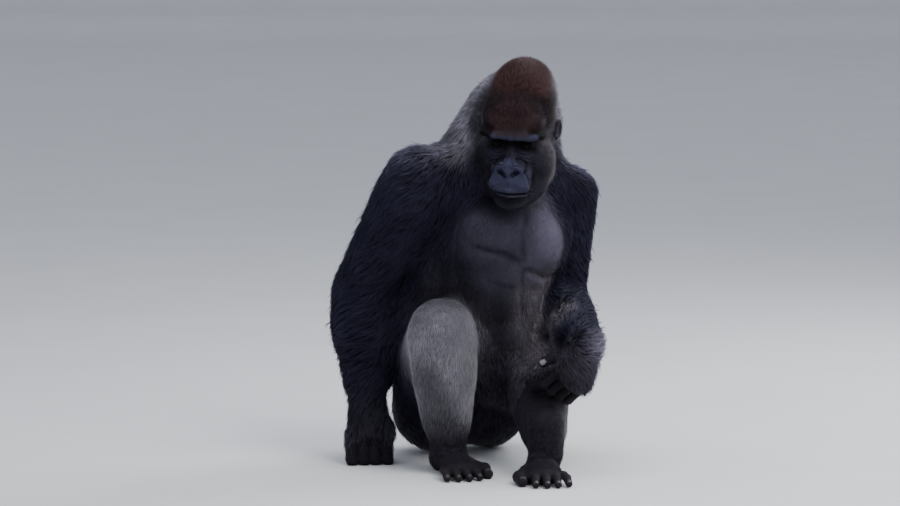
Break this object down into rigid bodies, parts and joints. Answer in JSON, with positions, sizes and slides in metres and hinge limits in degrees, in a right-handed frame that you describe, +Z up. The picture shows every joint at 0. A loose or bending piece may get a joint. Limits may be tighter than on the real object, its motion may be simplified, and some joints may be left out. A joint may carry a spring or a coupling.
{
  "type": "seated western lowland gorilla",
  "caption": "Life-size still model of an adult male gorilla sitting upright, one knee raised, one arm down to the floor and the other forearm over its knee.",
  "frame": {"origin": "on the floor, under the middle of the outline seen from above", "axes": "+Z up, -Y the way the pelvis faces, +X the animal's left"},
  "size_m": [0.7122, 0.816, 1.1003],
  "materials": {
    "coat_black": "blue-black fur with a soft sheen, greyer on the nape, reddish brown on the crest",
    "coat_grey": "streaky grey fur of the shins",
    "bare_skin": "dark slate skin, finely wrinkled, of face, ears, hands and feet",
    "eye": "wet, dark brown"
  },
  "bodies": {
    "root": {"head": "coat_black", "neck": "coat_black", "trunk": "coat_black", "upper_arm_left": "coat_black", "upper_arm_right": "coat_black", "forearm_left": "coat_black", "forearm_right": "coat_black", "thigh_left": "coat_black", "thigh_right": "coat_black", "shin_left": "coat_grey", "shin_right": "coat_grey", "ear_left": "bare_skin", "ear_right": "bare_skin", "hand_left": "bare_skin", "hand_right": "bare_skin", "foot_left": "bare_skin", "foot_right": "bare_skin", "finger_left_index": "bare_skin", "finger_left_middle": "bare_skin", "finger_left_ring": "bare_skin", "finger_left_little": "bare_skin", "thumb_left": "bare_skin", "toe_left_big": "bare_skin", "toe_left_second": "bare_skin", "toe_left_third": "bare_skin", "toe_left_fourth": "bare_skin", "toe_left_fifth": "bare_skin", "finger_right_index": "bare_skin", "finger_right_middle": "bare_skin", "finger_right_ring": "bare_skin", "finger_right_little": "bare_skin", "thumb_right": "bare_skin", "toe_right_big": "bare_skin", "toe_right_second": "bare_skin", "toe_right_third": "bare_skin", "toe_right_fourth": "bare_skin", "toe_right_fifth": "bare_skin", "eye_left": "eye", "eye_right": "eye"}
  },
  "joints": []
}
